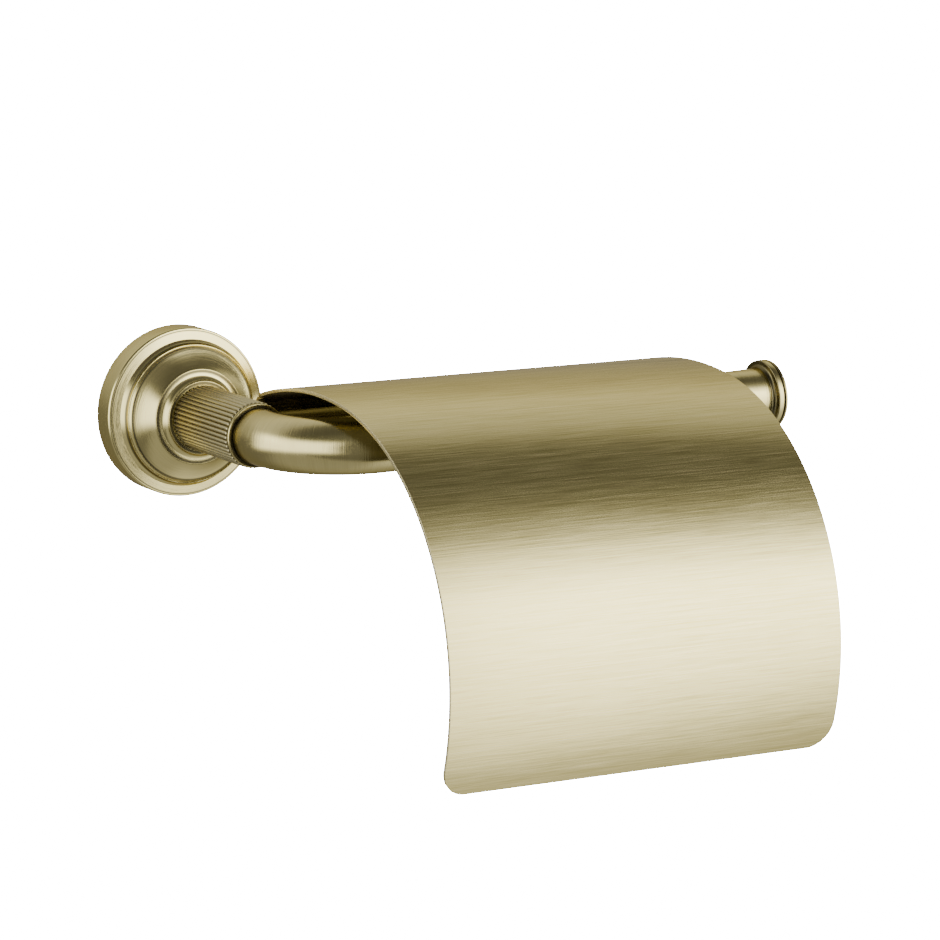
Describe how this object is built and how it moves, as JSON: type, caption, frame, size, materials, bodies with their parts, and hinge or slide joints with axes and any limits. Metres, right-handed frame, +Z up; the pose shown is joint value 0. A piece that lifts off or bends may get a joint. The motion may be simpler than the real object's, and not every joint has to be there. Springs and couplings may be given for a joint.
{
  "type": "toilet paper holder",
  "caption": "Wall-mounted toilet paper holder with a stepped round rosette, reeded neck, bent bar and a curved cover that swings up on a rod behind the roll.",
  "frame": {"origin": "centre of the rosette's back, on the wall, midway between the wall plate's two screw holes", "axes": "-Y straight out from the wall along the neck, +X along the bar towards its free end, +Z up the wall"},
  "size_m": [0.1965, 0.1661, 0.1217],
  "materials": {
    "brushed_brass": "fine brushed satin with a clear lacquer",
    "steel": "plain machined",
    "nylon": "natural matte"
  },
  "bodies": {
    "holder": {"wall_plate": "steel", "grub_screw": "steel", "rosette": "brushed_brass", "base_collar": "brushed_brass", "bolt_washer": "steel", "tie_bolt": "steel", "dowel_pins": "steel", "reeded_neck": "brushed_brass", "lip_ring": "brushed_brass", "gap_spacer": "brushed_brass", "arm_insert": "steel", "arm_tube": "brushed_brass", "end_insert": "steel", "end_disc": "brushed_brass", "end_button": "brushed_brass", "hinge_rod": "steel", "hinge_collar": "brushed_brass", "wave_washer": "steel", "cap_nut": "brushed_brass"},
    "cover": {"cover_sheet": "brushed_brass", "bush_inner": "nylon", "bush_outer": "nylon"}
  },
  "joints": [
    {"name": "cover_hinge", "type": "hinge", "parent": "holder", "child": "cover", "pos_m": [0.077, -0.0375, 0], "axis": [-1, 0, 0], "range_deg": [0, 78]}
  ]
}
